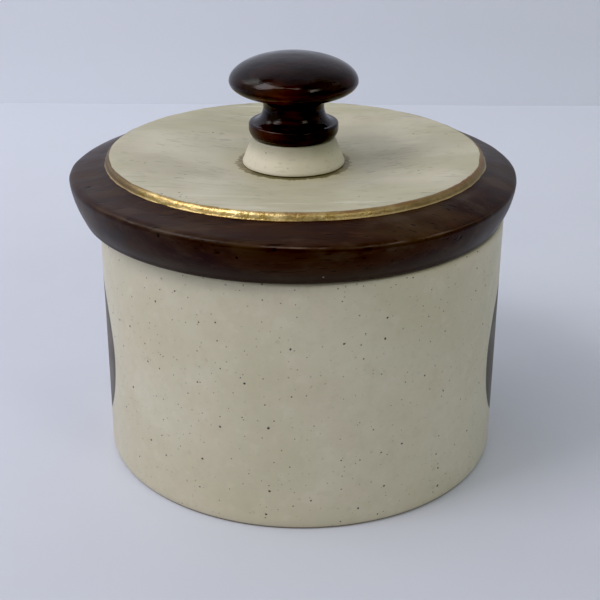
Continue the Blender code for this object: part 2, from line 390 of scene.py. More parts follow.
def glaze_look():
    """Oatmeal stoneware glaze with iron specks, two plain brown spots and bare clay underneath."""
    look = Look("speckled_glaze")
    wide = look.noise(22, detail=3)
    tint = look.stretched((48, 48, 40), (3.1, 1.7, 0.4), detail=3)
    fine = look.noise(420, detail=4, roughness=0.6)
    mottle = look.noise(170, detail=3, roughness=0.65)
    colour = look.mix(look.band(wide, 0.36, 0.64), (0.526, 0.487, 0.344), (0.578, 0.543, 0.407))
    colour = look.over(colour, look.band(tint, 0.45, 0.62), 0.45, (0.571, 0.503, 0.373))
    colour = look.over(colour, look.band(fine, 0.45, 0.75), 0.22, (0.46, 0.415, 0.29))
    colour = look.over(colour, look.band(mottle, 0.50, 0.72), 0.30, (0.47, 0.43, 0.30))
    colour = look.over(colour, look.band(mottle, 0.46, 0.30), 0.30, (0.64, 0.60, 0.48))

    source = warped(look, 900, 0.0006, unrolled(look))
    crowd = look.band(look.noise(60, detail=2), 0.40, 0.60, 0.30, 1.0)
    haze = specks(look, 140, 0.26, 0.115, source)
    faint = specks(look, 330, 0.46, 0.085, source)
    small = specks(look, 215, 0.52, 0.050, source)
    dark = specks(look, 145, 0.36, 0.054, source)
    colour = look.over(colour, look.times(haze, crowd), 0.16, (0.22, 0.18, 0.10))
    colour = look.over(colour, look.times(faint, crowd), 0.55, (0.17, 0.13, 0.075))
    colour = look.over(colour, small, 0.80, (0.080, 0.062, 0.038))
    colour = look.over(colour, dark, 0.95, (0.024, 0.018, 0.013))

    # Two plain round spots, one on each side, measured round the wall and up it
    x, y, z = look.parts()
    side = look.times(look.math("ARCTAN2", y, look.math("ABSOLUTE", x)), JAR_RADIUS)
    away = look.length(side, look.minus(z, SPOT_HEIGHT))
    uneven = look.times(look.minus(look.noise(90, detail=2), 0.5), 0.0007)
    edge = look.plus(away, uneven)
    outside = look.math("GREATER_THAN", look.radius(0.0), JAR_RADIUS - 0.0012)
    spot = look.band(edge, SPOT_RADIUS - 0.0005, SPOT_RADIUS + 0.0003, 1.0, 0.0)
    spot = look.times(spot, outside)
    rim = look.band(edge, SPOT_RADIUS - 0.0040, SPOT_RADIUS - 0.0012)
    cloudy = look.noise(70, detail=5, roughness=0.6)
    brown = look.mix(cloudy, (0.056, 0.046, 0.030), (0.118, 0.098, 0.066))
    brown = look.over(brown, rim, 0.6, (0.040, 0.036, 0.022))
    colour = look.mix(spot, colour, brown)

    clay = look.band(z, 0.00035, 0.0008, 1.0, 0.0)
    clay_colour = look.mix(look.noise(260, detail=5), (0.20, 0.15, 0.10), (0.30, 0.24, 0.17))
    colour = look.mix(clay, colour, clay_colour)

    pits = look.plus(dark, look.times(small, 0.4))
    height = look.minus(look.times(look.noise(140, detail=2), 0.8), look.times(pits, 0.6))
    height = look.plus(height, look.times(spot, 1.4))
    rough = look.band(look.noise(60, detail=3), 0.3, 0.7, 0.30, 0.42)
    rough = look.plus(rough, look.times(spot, 0.12))
    rough = look.math("ADD", rough, look.times(clay, 0.45), clamp=True)
    return look.finish(colour, rough, look.bump(height, 0.00006), specular=0.50)


def with_brushed_line(look, colour):
    """Adds the ragged brown line round the collar's foot, on a faint wider stain."""
    x, y, _ = look.parts()
    angle = look.math("ARCTAN2", y, look.minus(x, LID_X))
    reach = look.radius(LID_X)
    halo = look.band(reach, COLLAR_RADIUS + 0.0020, COLLAR_RADIUS + 0.0095, 0.55, 0.0)
    colour = look.mix(halo, colour, (0.415, 0.378, 0.232))
    round_x = look.times(look.math("SINE", angle), 11.0)
    round_y = look.times(look.math("COSINE", angle), 11.0)
    spokes = look.joined(round_x, round_y, look.times(reach, 130.0))
    bristles = look.noise(1.0, spokes, detail=3, roughness=0.75)
    width = look.band(bristles, 0.30, 0.70, 0.00095, 0.00300, kind="LINEAR")
    beyond = look.minus(reach, COLLAR_RADIUS)
    line = look.band(look.minus(beyond, width), -0.00030, 0.00022, 1.0, 0.0)
    thick = look.band(bristles, 0.35, 0.65)
    ink = look.mix(thick, (0.12, 0.093, 0.048), (0.29, 0.238, 0.128))
    # In front, close to the collar, the ink is darker and more solid: thicker paint, and painted
    # shade at the collar's foot
    near = look.band(beyond, 0.0016, 0.0030, 1.0, 0.0)
    front_shade_and_thick_ink = look.times(near, look.band(y, -0.0135, -0.0060, 1.0, 0.0))
    ink = look.mix(front_shade_and_thick_ink, ink, (0.135, 0.118, 0.052))
    return look.mix(look.times(line, look.plus(look.times(front_shade_and_thick_ink, 0.10), 0.90)), colour, ink)


def with_painted_knob_shade(look, colour):
    """Adds painted shade on the collar's top, under the knob."""
    uneven = look.times(look.noise(90, detail=2), 0.0024)
    level = look.plus(look.parts()[2], uneven)
    # Painted shade: the collar is darker towards its top, under the knob
    painted_shade_under_knob = look.band(level, COLLAR_HIGH.z - 0.0042, COLLAR_HIGH.z + 0.0012, 0.0, 0.62)
    return look.mix(painted_shade_under_knob, colour, (0.155, 0.150, 0.105))


def cream_paint_look(name, grain, specks_at, dull, pale, extra):
    """Cream paint over open-grained wood: soft clouds, and short grey pores along the grain.

    grain is how strongly the wood shows, dull and pale are the paint's tones, and extra adds
    what is particular to the piece.
    """
    look = Look(name)
    clouds = look.stretched((26, 40, 40), (0.3, 0.9, 0.0), detail=3)
    hue = look.stretched((18, 30, 30), (2.3, 1.1, 0.0), detail=2)
    streaks = look.stretched((26, 300, 300), detail=4, roughness=0.6, distortion=0.3)
    colour = look.mix(look.band(clouds, 0.38, 0.62), dull, pale)
    greenish = (0.93 * dull[0], 0.97 * dull[1], 0.86 * dull[2])
    colour = look.over(colour, look.band(hue, 0.42, 0.60), 0.5, greenish)
    patchy = look.noise(30, look.vector((0.5, 1, 1), (0.7, 0.2, 0.0)), detail=2)
    patchy = look.band(patchy, 0.40, 0.62)
    dark_streaks = look.times(look.band(streaks, 0.53, 0.70), patchy)
    colour = look.over(colour, dark_streaks, 0.34 * grain, (0.31, 0.30, 0.225))
    pale_streaks = look.times(look.band(streaks, 0.44, 0.30), patchy)
    colour = look.over(colour, pale_streaks, 0.5 * grain, (0.62, 0.60, 0.49))

    short_pores = look.stretched((210, 1300, 1300), detail=1, roughness=0.4)
    long_pores = look.stretched((75, 1000, 1000), (0.13, 0.4, 0.0), detail=1)
    patches = look.noise(60, look.vector((0.7, 1, 1)), detail=2)
    patches = look.times(look.band(patches, 0.40, 0.58, 0.10, 1.0), grain)
    pore = look.times(look.band(short_pores, 0.645, 0.715), patches)
    long_pore = look.times(look.band(long_pores, 0.655, 0.725), patches)
    pore = look.math("MAXIMUM", pore, look.times(long_pore, 0.7))
    colour = look.over(colour, pore, 0.62, (0.20, 0.19, 0.15))
    smudge = specks(look, 110, 0.07, 0.16, warped(look, 300, 0.0016))
    colour = look.over(colour, smudge, 0.22 * grain, (0.25, 0.22, 0.17))
    colour = look.over(colour, look.marks(specks_at), 0.85, (0.045, 0.035, 0.024))
    colour = extra(look, colour)

    height = look.minus(look.times(streaks, 0.5), look.times(pore, 0.8))
    height = look.plus(height, look.times(look.noise(200, detail=2), 0.4))
    rough = look.band(look.noise(80, detail=3), 0.3, 0.7, 0.42, 0.54)
    return look.finish(colour, rough, look.bump(height, 0.00008), specular=0.30)


def panel_look():
    """The panel's paint, with small dark specks, most of them near its front left edge."""
    dots = [  # degrees from the front, and distance from the centre and radius in millimetres
        (-38, 51.5, 0.30),
        (-36, 52.6, 0.22),
        (-35, 54.2, 0.30),
        (-33.5, 53.1, 0.25),
        (-41, 55.6, 0.32),
        (-39, 56.4, 0.30),
        (-37, 56.8, 0.26),
        (-28, 55.5, 0.22),
        (24, 46.0, 0.26),
        (66, 41.0, 0.30),
        (-57, 38.0, 0.28),
        (-74, 46.5, 0.26),
        (118, 44.0, 0.30),
        (-132, 36.0, 0.30),
        (96, 52.0, 0.24),
    ]
    spots = [on_lid(turn, r / 1000, panel_height(r / 1000), size / 1000) for turn, r, size in dots]
    tones = (0.434, 0.400, 0.285), (0.537, 0.502, 0.372)
    return cream_paint_look("cream_painted_wood", 1.0, spots, *tones, with_brushed_line)


def collar_look():
    """The collar's smoother paint, with two specks in front and painted shade under the knob."""
    spots = [
        on_lid(-37, 0.0138, COLLAR_LOW.z + 0.0060, 0.00026),
        on_lid(-6, 0.0152, COLLAR_LOW.z + 0.0025, 0.00022),
    ]
    tones = (0.570, 0.530, 0.397), (0.660, 0.616, 0.474)
    return cream_paint_look("cream_painted_collar", 0.30, spots, *tones, with_painted_knob_shade)


def ridge_warp(x, y):
    """How much higher the ring's ridge is at a place, x from the lid's centre line."""
    slant = min(x, 0.0) * y + max(x, 0.0) * min(y, 0.0)
    return 2 * RIDGE_WARP / RING_RADIUS**2 * slant


def ridge_warp_nodes(look, x, y):
    """The same, in a material."""
    along = look.minus(x, LID_X)
    left = look.times(look.math("MINIMUM", along, 0.0), y)
    right = look.times(look.math("MAXIMUM", along, 0.0), look.math("MINIMUM", y, 0.0))
    return look.times(look.plus(left, right), 2 * RIDGE_WARP / RING_RADIUS**2)


def stained_wood_look():
    """Dark brown stain over turned wood, the grain running across the lid, rubbed on the ridge,
    with a painted highlight there.
    """
    look = Look("stained_wood")
    grain = look.stretched((13, 170, 170), detail=6, roughness=0.62, distortion=0.5)
    fine = look.stretched((38, 620, 620), detail=3, roughness=0.6)
    blotch = look.stretched((24, 60, 70), (1.3, 0.2, 0.0), detail=3)
    cloud = look.stretched((42, 85, 85), (0.9, 0.4, 0.0), detail=4, roughness=0.6)
    pore = look.band(look.stretched((110, 1300, 1300), detail=1), 0.64, 0.72)
    colour = look.mix(
        look.band(grain, 0.36, 0.66), (0.0185, 0.0076, 0.0044), (0.0355, 0.0158, 0.0082)
    )
    colour = look.over(colour, look.band(blotch, 0.50, 0.70), 0.62, (0.052, 0.031, 0.0130))
    colour = look.over(colour, look.band(blotch, 0.47, 0.34), 0.55, (0.0140, 0.0050, 0.0075))
    colour = look.over(colour, look.band(cloud, 0.51, 0.66), 0.60, (0.058, 0.0375, 0.0215))
    colour = look.over(colour, look.band(cloud, 0.47, 0.34), 0.60, (0.0105, 0.0050, 0.0045))
    colour = look.over(colour, look.band(fine, 0.56, 0.74), 0.25, (0.085, 0.042, 0.020))
    colour = look.over(colour, pore, 0.7, (0.003, 0.0015, 0.0012))

    # Ridge: a rubbed line, partly painted highlight, least at the sides; painted shade just below
    x, y, z = look.parts()
    ridge_z = RING_LOW.z + RIDGE_HEIGHT
    above = look.minus(look.minus(z, ridge_z), ridge_warp_nodes(look, x, y))
    wear_and_highlight_patches = look.stretched((60, 60, 500), (0.55, 0.1, 0.0), detail=5, roughness=0.65)
    wear_and_highlight_patches = look.band(wear_and_highlight_patches, 0.42, 0.62)
    wear_and_highlight_patches = look.times(wear_and_highlight_patches, look.band(x, 0.034, 0.052, 1.0, 0.15))
    wear_and_highlight_patches = look.times(wear_and_highlight_patches, look.band(x, -0.056, -0.042, 0.30, 1.0))
    ridge_wear_and_highlight = look.band(look.math("ABSOLUTE", above), 0.00005, 0.00026, 1.0, 0.0)
    colour = look.over(colour, look.times(ridge_wear_and_highlight, wear_and_highlight_patches), 0.50, (0.20, 0.145, 0.115))
    crease_shade = look.math("ABSOLUTE", look.plus(above, 0.0008))
    crease_shade = look.band(crease_shade, 0.0001, 0.0005, 1.0, 0.0)
    colour = look.over(colour, crease_shade, 0.35, (0.007, 0.0036, 0.0030))

    # Lighter and greyer towards the foot
    level = look.plus(z, look.times(blotch, 0.003))
    foot = look.band(level, RING_LOW.z + 0.0022, RING_LOW.z + 0.0080, 0.60, 0.0)
    colour = look.mix(foot, colour, (0.041, 0.031, 0.0215))

    pits = look.marks(
        [
            on_lid(-3.5, RING_RADIUS, ridge_z - 0.0004, 0.0005),
            on_lid(-31, RING_RADIUS, ridge_z - 0.0002, 0.0005),
            on_lid(43, RING_RADIUS - 0.0008, ridge_z - 0.0040, 0.0006),
            on_lid(-66, RING_RADIUS - 0.0040, ridge_z + 0.0018, 0.0009),
            on_lid(-12, RING_RADIUS - 0.0006, ridge_z - 0.0034, 0.0004),
            on_lid(152, RING_RADIUS - 0.0005, ridge_z - 0.0028, 0.0006),
            on_lid(-118, RING_RADIUS - 0.0035, ridge_z + 0.0016, 0.0007),
        ]
    )
    colour = look.over(colour, pits, 0.9, (0.002, 0.0012, 0.0010))
    bare = look.marks([on_lid(7.5, RING_FOOT_RADIUS + 0.0009, RING_LOW.z + 0.0022, 0.00035)])
    colour = look.over(colour, bare, 0.9, (0.45, 0.40, 0.34))

    height = look.minus(look.times(grain, 0.6), pore)
    height = look.minus(height, look.times(pits, 3.0))
    rough = look.band(grain, 0.3, 0.7, 0.33, 0.41)
    normal = look.bump(height, 0.000022)
    return look.finish(colour, rough, normal, specular=0.165, sheen_tint=(1.0, 0.94, 0.84))


def knob_look():
    """The same stain under a thick, glossy varnish, redder where it is thin, with painted red
    light on its front.
    """
    look = Look("polished_stained_wood")
    grain = look.stretched((60, 90, 420), detail=5, roughness=0.6, distortion=0.8)
    patches = look.stretched((60, 60, 150), (0.21, 0.0, 0.1), detail=2)
    colour = look.mix(
        look.band(grain, 0.38, 0.70), (0.0066, 0.0038, 0.0031), (0.0205, 0.0092, 0.0064)
    )
    colour = look.over(colour, look.band(patches, 0.54, 0.74), 0.5, (0.040, 0.0085, 0.0040))
    widest_z = KNOB_HIGH.z - KNOB_HEAD_RISE
    waist_z = KNOB_LOW.z + KNOB_WAIST_HEIGHT
    # Red patches on the front: thinner stain, and painted light bounced up from the panel
    thin_stain_and_painted_light = look.marks(
        [
            on_lid(-12, KNOB_RADIUS - 0.0015, widest_z - 0.0030, 0.0042),
            on_lid(-30, KNOB_RADIUS - 0.0012, widest_z - 0.0020, 0.0022),
            on_lid(-2, KNOB_WAIST_RADIUS + 0.0010, waist_z - 0.0030, 0.0030),
        ],
        blur=0.7,
    )
    thin_stain_and_painted_light = look.times(thin_stain_and_painted_light, look.band(grain, 0.30, 0.60))
    colour = look.over(colour, thin_stain_and_painted_light, 0.65, (0.095, 0.022, 0.0060))

    runs = look.stretched((150, 150, 260), detail=3)
    scratches = look.stretched((300, 300, 2600), detail=1)
    height = look.plus(look.times(runs, 0.8), look.times(scratches, 0.20))
    nicks = look.marks(
        [
            on_lid(172, 0.0105, KNOB_HIGH.z - 0.0012, 0.0005),
            on_lid(40, 0.0187, KNOB_HIGH.z - 0.0056, 0.0004),
        ]
    )
    height = look.minus(height, look.times(nicks, 3.0))
    rough = look.band(look.noise(140, detail=3), 0.3, 0.7, 0.13, 0.24)
    normal = look.bump(height, 0.00020)
    return look.finish(colour, rough, normal, specular=0.21, sheen_tint=(1.0, 0.95, 0.87))


def gold_look():
    """Gilt paint, brushed on by hand: smooth and bright, bronze where it is thin, and with painted
    shade and a painted highlight.
    """
    look = Look("gold_paint")
    x, y, z = look.parts()
    strokes = look.noise(300, detail=4, roughness=0.65)
    thin = look.band(look.noise(70, detail=4, roughness=0.6), 0.44, 0.60)
    # Painted shade: the band is darker on its right and left sides, most on the left
    right = look.band(look.minus(x, look.times(y, 0.45)), 0.018, 0.056)
    left = look.band(look.plus(x, look.times(y, 0.20)), -0.058, -0.047, 1.0, 0.0)
    painted_side_shade = look.math("MAXIMUM", right, left)
    colour = look.mix(look.band(strokes, 0.35, 0.65), (0.58, 0.41, 0.130), (0.88, 0.70, 0.33))
    colour = look.over(colour, thin, 0.60, (0.30, 0.19, 0.060))
    colour = look.over(colour, painted_side_shade, 0.80, (0.165, 0.115, 0.056))
    colour = look.over(colour, left, 0.55, (0.090, 0.052, 0.020))
    # Painted shade on the band's upper part, weaker at the front left
    upper = look.band(z, PANEL_HIGH.z - 0.0008, PANEL_HIGH.z - 0.0001)
    upper = look.times(upper, look.band(look.noise(110, detail=3), 0.38, 0.58, 0.30, 1.0))
    upper = look.times(upper, look.band(x, -0.022, 0.012, 0.30, 1.0))
    colour = look.over(colour, upper, 0.82, (0.24, 0.130, 0.056))
    edge = look.band(look.radius(PANEL_X), PANEL_RADIUS - 0.0001, PANEL_RADIUS + 0.0002)
    # Along the outer edge: painted shade in front, and a painted highlight line on the sides
    colour = look.mix(look.times(edge, look.minus(0.8, painted_side_shade)), colour, (0.30, 0.21, 0.080))
    colour = look.mix(look.times(edge, look.times(painted_side_shade, 0.42)), colour, (0.66, 0.50, 0.26))

    metal = look.band(look.math("MAXIMUM", painted_side_shade, upper), 0.0, 1.0, 1.0, 0.70)
    rough = look.plus(look.band(strokes, 0.3, 0.7, 0.24, 0.40), look.times(painted_side_shade, 0.12))
    height = look.plus(strokes, look.times(look.noise(1400, detail=2), 0.5))
    normal = look.bump(height, 0.00028)
    return look.finish(colour, rough, normal, metallic=metal, specular=0.4)


def bare_wood_look():
    """Unfinished pale wood with straight grain, for the plug under the lid."""
    look = Look("bare_wood")
    rings = look.stretched((9, 160, 120), detail=5, roughness=0.6, distortion=0.7)
    pores = look.band(look.stretched((120, 1500, 1500), detail=1), 0.62, 0.72)
    colour = look.mix(look.band(rings, 0.3, 0.7), (0.46, 0.30, 0.17), (0.33, 0.19, 0.095))
    colour = look.over(colour, pores, 0.5, (0.17, 0.095, 0.045))
    rough = look.band(rings, 0.3, 0.7, 0.55, 0.68)
    return look.finish(colour, rough, look.bump(look.minus(rings, pores), 0.00010), specular=0.3)


def rubber_look():
    """Matt dark rubber with a dusty bloom."""
    look = Look("rubber")
    bloom = look.noise(240, detail=5, roughness=0.65)
    colour = look.mix(look.band(bloom, 0.35, 0.7), (0.035, 0.032, 0.030), (0.075, 0.070, 0.064))
    rough = look.band(bloom, 0.3, 0.7, 0.60, 0.78)
    return look.finish(colour, rough, look.bump(bloom, 0.00005), specular=0.35)


def steel_look():
    """Zinc-plated steel with fine turning marks and a little dulling."""
    look = Look("zinc_plated_steel")
    marks = look.stretched((500, 500, 2500), detail=2)
    dull = look.noise(350, detail=4)
    colour = look.mix(look.band(dull, 0.35, 0.7), (0.62, 0.62, 0.60), (0.42, 0.41, 0.38))
    rough = look.band(dull, 0.3, 0.7, 0.25, 0.45)
    return look.finish(colour, rough, look.bump(marks, 0.00003), metallic=1.0)


# ==== Pieces ===================================================================================
def place(piece, body, slot, look, *nodes):
    """Gives a piece its material and body, and hides the CAD nodes that it stands for; slot is not
    used.
    """
    piece.data.materials.clear()
    piece.data.materials.append(look)
    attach(piece, body)
    if nodes:
        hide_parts(*nodes)
    return piece


def make_jar():
    """The jar, its outside very slightly uneven, as thrown and glazed ware is."""
    inner = JAR_RADIUS - JAR_WALL
    fillet, lip = JAR_INNER_FILLET, JAR_LIP_ROUND
    points = [(0.0, JAR_FLOOR)]
    points += arc((inner - fillet, JAR_FLOOR + fillet), (fillet, fillet), -90, 0, 10)
    points += arc((inner + lip, JAR_HEIGHT - lip), (lip, lip), 180, 90, 6)
    points += arc((JAR_RADIUS - lip, JAR_HEIGHT - lip), (lip, lip), 90, 0, 6)
    points += [(JAR_RADIUS, 1.6 * JAR_HEEL), (JAR_RADIUS - 0.25 * JAR_HEEL, 0.8 * JAR_HEEL)]
    points += [(JAR_RADIUS - JAR_HEEL, 0.0), (0.0, 0.0)]

    def relief(x, y, z, r):
        if z < 0.0002 or r < inner:
            return 0.0
        waves = 0.00012 * (wobble(x, y, z, 0.035) - 1.0)
        return waves + 0.00004 * (wobble(x, y, z, 0.009, 3.0) - 1.0)

    outline = resampled(points, 0.0022)
    piece = turned("jar_shell", outline, 288, 0.0, closed=False, relief=relief)
    return place(piece, "jar", "speckled_glaze", glaze_look(), "jar_body")


def make_ring():
    """The stained wooden ring: sloping top, soft ridge, round side, groove and rebate."""
    base = RING_LOW.z
    ridge_z = base + RIDGE_HEIGHT
    seat = (RING_SEAT_RADIUS, RING_HIGH.z - RING_SEAT_DROP)
    inner, outer, depth = SEAL_GROOVE
    top = (RING_RADIUS - 0.0001, ridge_z - 0.0006)
    foot = (RING_FOOT_RADIUS, base + RING_FOOT_ROUND)
    foot_centre = (RING_FOOT_RADIUS - RING_FOOT_ROUND, base + RING_FOOT_ROUND)
    side = []
    for step in range(13):
        share = step / 12
        bulge = RING_BULGE * 4 * share * (1 - share)
        r = top[0] + (foot[0] - top[0]) * share + bulge
        side.append((r, top[1] + (foot[1] - top[1]) * share))
    points = [seat, (RING_RADIUS - RIDGE_ROUND, ridge_z + 0.0009)]
    points += [(RING_RADIUS - 0.0009, ridge_z + 0.0005), (RING_RADIUS - 0.0004, ridge_z + 0.0001)]
    points += side + arc(foot_centre, (RING_FOOT_ROUND, RING_FOOT_ROUND), 0, -90, 4)[1:]
    points += [(outer, base), (outer, base + depth), (inner, base + depth), (inner, base)]
    points += [(RING_HOLE_RADIUS, base), (RING_HOLE_RADIUS, base + RING_SHELF_HEIGHT)]
    points += [(RING_SEAT_RADIUS, base + RING_SHELF_HEIGHT), seat]

    def relief(x, y, z, r):
        if z < base + 0.0002 or r < RING_SEAT_RADIUS + 0.0002:
            return 0.0
        waves = 0.00010 * (wobble(x, y, z, 0.022, 1.0) - 1.0)
        return waves + 0.00007 * (wobble(x, y, z, 0.006, 5.0) - 1.0)

    piece = turned("wooden_ring", resampled(points, 0.0010)[:-1], 384, LID_X, relief=relief)
    slope = (top[0] - foot[0]) / (top[1] - foot[1])
    shift_width = PANEL_SHIFT_RADIUS - RING_SEAT_RADIUS
    warp_width = RING_RADIUS - RIDGE_ROUND - RIDGE_WARP_RADIUS
    for vertex in piece.data.vertices:
        reach = math.hypot(vertex.co.x - LID_X, vertex.co.y)
        if vertex.co.z > base + RING_SHELF_HEIGHT - 0.0001:
            share = (PANEL_SHIFT_RADIUS - reach) / shift_width
            vertex.co.x += (PANEL_X - LID_X) * min(1.0, max(0.0, share))
        on_top = (reach - RIDGE_WARP_RADIUS) / warp_width
        on_side = 1 - (ridge_z - vertex.co.z) / RIDGE_WARP_DEPTH
        near_ridge = min(1.0, on_top, on_side)
        if near_ridge > 0:
            x, y = vertex.co.x - LID_X, vertex.co.y
            warp = near_ridge * ridge_warp(x, y)
            vertex.co += Vector((slope * warp * x / reach, slope * warp * y / reach, warp))
    return place(piece, "lid", "stained_wood", stained_wood_look(), "lid_ring")


def panel_height(r):
    """The panel's top at a distance from its centre line."""
    crest = PANEL_RADIUS - PANEL_EDGE_WIDTH
    if r <= PANEL_FLAT_RADIUS:
        return PANEL_HIGH.z - PANEL_DISH
    if r <= crest:
        share = (r - PANEL_FLAT_RADIUS) / (crest - PANEL_FLAT_RADIUS)
        return PANEL_HIGH.z - PANEL_DISH + PANEL_DISH * math.sin(math.pi / 2 * share) ** 1.5
    share = min(1.0, (r - crest) / PANEL_EDGE_WIDTH)
    return PANEL_HIGH.z - PANEL_EDGE_DROP * (1 - math.sqrt(1 - share * share))


def make_panel():
    """The cream panel: flat middle, shallow dish and rounded rim."""
    crest = PANEL_RADIUS - PANEL_EDGE_WIDTH
    edge_centre = (crest, PANEL_HIGH.z - PANEL_EDGE_DROP)
    steps = 44
    points = [(SCREW_HOLE_RADIUS, PANEL_HIGH.z - PANEL_DISH)]
    for step in range(steps + 1):
        r = PANEL_FLAT_RADIUS + (crest - PANEL_FLAT_RADIUS) * step / steps
        points.append((r, panel_height(r)))
    points += arc(edge_centre, (PANEL_EDGE_WIDTH, PANEL_EDGE_DROP), 90, 0, 10)[1:]
    points += [(PANEL_RADIUS, PANEL_LOW.z), (SCREW_HOLE_RADIUS, PANEL_LOW.z)]

    def relief(x, y, z, r):
        if z < PANEL_LOW.z + 0.001 or r < COLLAR_RADIUS:
            return 0.0
        return 0.00006 * (wobble(x * 0.25, y, z, 0.006, 7.0) - 1.0)

    piece = turned("cream_panel", points, 384, PANEL_X, relief=relief)
    return place(piece, "lid", "cream_painted_wood", panel_look(), "lid_panel")


def painted_band(name, inner, outer, height):
    """A thin closed skin of paint round the panel, its edges uneven.

    inner and outer give each edge's radius at an angle, height the surface at a radius.
    """
    segments, across, tooth = 720, 16, 60
    verts, faces = [], []
    for step in range(segments):
        angle = 2 * math.pi * step / segments
        start, end = inner(angle), outer(angle)
        for is_top in (False, True):
            for i in range(across + 1):
                share = i / across
                r = start + (end - start) * share
                lift = -0.4
                if is_top:
                    lump = wobble(math.cos(angle) * tooth, math.sin(angle) * tooth, share, 1.0)
                    lift = math.sin(math.pi * share) ** 0.5 * (1 + 0.35 * lump)
                z = height(r) + GOLD_THICKNESS * lift
                verts.append((PANEL_X + r * math.cos(angle), r * math.sin(angle), z))
    row = 2 * (across + 1)
    for step in range(segments):
        a, b = step * row, ((step + 1) % segments) * row
        for i in range(across):
            faces.append((a + i, b + i, b + i + 1, a + i + 1))
            top_a, top_b = a + across + 1 + i, b + across + 1 + i
            faces.append((top_a, top_a + 1, top_b + 1, top_b))
        faces.append((a, a + across + 1, b + across + 1, b))
        faces.append((a + across, b + across, b + row - 1, a + row - 1))
    return linked_piece(name, verts, faces)


def around(angle, size, seed):
    """Noise that closes on itself round the lid: lumps of this size at the panel's rim."""
    radius = PANEL_RADIUS / size
    return noise.noise(Vector((math.cos(angle) * radius + seed, math.sin(angle) * radius, seed)))


def make_gold_band():
    """The gilt band over the panel's rounded rim, down to the wooden ring."""
    seat_z = RING_HIGH.z - RING_SEAT_DROP

    def inner(angle):
        left = 0.0004 * max(0.0, -math.cos(angle)) ** 6
        behind = 0.0007 * min(1.0, max(0.0, math.sin(angle) / 0.4))
        waver = 0.00034 * around(angle, 0.009, 2.0) + 0.00020 * around(angle, 0.003, 4.0)
        return PANEL_RADIUS - GOLD_WIDTH + left + behind + waver

    def outer(angle):
        waver = 0.00034 * around(angle, 0.008, 6.0) + 0.00018 * around(angle, 0.0025, 8.0)
        return PANEL_RADIUS + 0.0003 + waver

    def height(r):
        start = PANEL_RADIUS - 0.0001
        if r <= start:
            return panel_height(r)
        share = min(1.0, (r - start) / 0.0002)
        return panel_height(start) + (seat_z - panel_height(start)) * share

    piece = painted_band("gold_band", inner, outer, height)
    return place(piece, "lid", "gold_paint", gold_look())


def make_collar():
    """The cream cone between the panel and the knob."""
    low, high, top = COLLAR_LOW.z, COLLAR_HIGH.z, COLLAR_TOP_RADIUS
    points = [(SCREW_HOLE_RADIUS, high), (top - 0.0006, high)]
    points += [(top - 0.0002, high - 0.0002), (top, high - 0.0006)]
    points += [(COLLAR_RADIUS, low + 0.0005), (COLLAR_RADIUS - 0.0001, low)]
    points += [(SCREW_HOLE_RADIUS, low)]

    def relief(x, y, z, r):
        if r < top - 0.001:
            return 0.0
        return 0.00006 * (wobble(x, y, z, 0.007, 9.0) - 1.0)

    piece = turned("cream_collar", resampled(points, 0.0006), 256, LID_X, relief=relief)
    return place(piece, "lid", "cream_painted_wood", collar_look(), "knob_collar")


def make_knob():
    """The turned knob: flattened head, waist and bead, with soft varnish runs."""
    low = KNOB_LOW.z
    head_z = KNOB_HIGH.z - KNOB_HEAD_RISE
    waist_z = low + KNOB_WAIST_HEIGHT
    bead_z = low + KNOB_BEAD_HEIGHT
    under = math.degrees(math.acos(KNOB_FILLET_RADIUS / KNOB_RADIUS))
    fillet_z = head_z - KNOB_HEAD_FALL * math.sin(math.radians(under))
    fillet = (KNOB_FILLET_RADIUS - KNOB_WAIST_RADIUS, fillet_z - waist_z)
    bead_round = (KNOB_BEAD_ROUND, KNOB_BEAD_ROUND)
    bead_centre = (KNOB_BEAD_RADIUS - KNOB_BEAD_ROUND, bead_z + KNOB_BEAD_ROUND)
    shoulder_z = bead_z + 2 * KNOB_BEAD_ROUND
    cove = (bead_centre[0] - KNOB_WAIST_RADIUS, waist_z - shoulder_z)
    hole_top = SCREW_HIGH.z + 0.0003
    points = arc((0.0, head_z), (KNOB_RADIUS, KNOB_HEAD_RISE), 90, 0, 40)
    points[0] = (0.0, KNOB_HIGH.z)
    points += arc((0.0, head_z), (KNOB_RADIUS, KNOB_HEAD_FALL), 0, -under, 16)[1:]
    points += arc((KNOB_FILLET_RADIUS, waist_z), fillet, 90, 180, 8)[1:]
    points += arc((bead_centre[0], waist_z), cove, 180, 270, 12)[1:]
    points += arc(bead_centre, bead_round, 90, 0, 8)[1:]
    points += [(KNOB_BEAD_RADIUS, bead_z - 0.0008), (KNOB_BEAD_RADIUS - 0.0003, bead_z - 0.0018)]
    points += [(KNOB_FOOT_RADIUS + 0.0002, low + 0.0002), (KNOB_FOOT_RADIUS - 0.0002, low)]
    points += [(SCREW_HOLE_RADIUS, low), (SCREW_HOLE_RADIUS, hole_top), (0.0, hole_top)]

    def relief(x, y, z, r):
        if z < low + 0.0003 or r < 0.004 and z < waist_z:
            return 0.0
        return 0.00005 * (wobble(x, y, z, 0.006, 11.0) - 1.0)

    piece = turned("turned_knob", points, 224, LID_X, closed=False, relief=relief)
    return place(piece, "lid", "polished_stained_wood", knob_look(), "knob")


def dress_inner_nodes():
    """The CAD nodes under the lid keep their shapes and take fine materials."""
    steel = steel_look()
    looks = {
        "lid_plug": bare_wood_look(),
        "seal_ring": rubber_look(),
        "screw_washer": steel,
        "knob_screw": steel,
    }
    for node, look in looks.items():
        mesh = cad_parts[node].data
        mesh.materials.clear()
        mesh.materials.append(look)
        mesh.shade_smooth()
        mesh.set_sharp_from_angle(angle=math.radians(35))


# ==== Stage ====================================================================================
def shaded(colour, amount):
    """The same colour, this many times as bright."""
    return tuple(amount * c for c in colour)


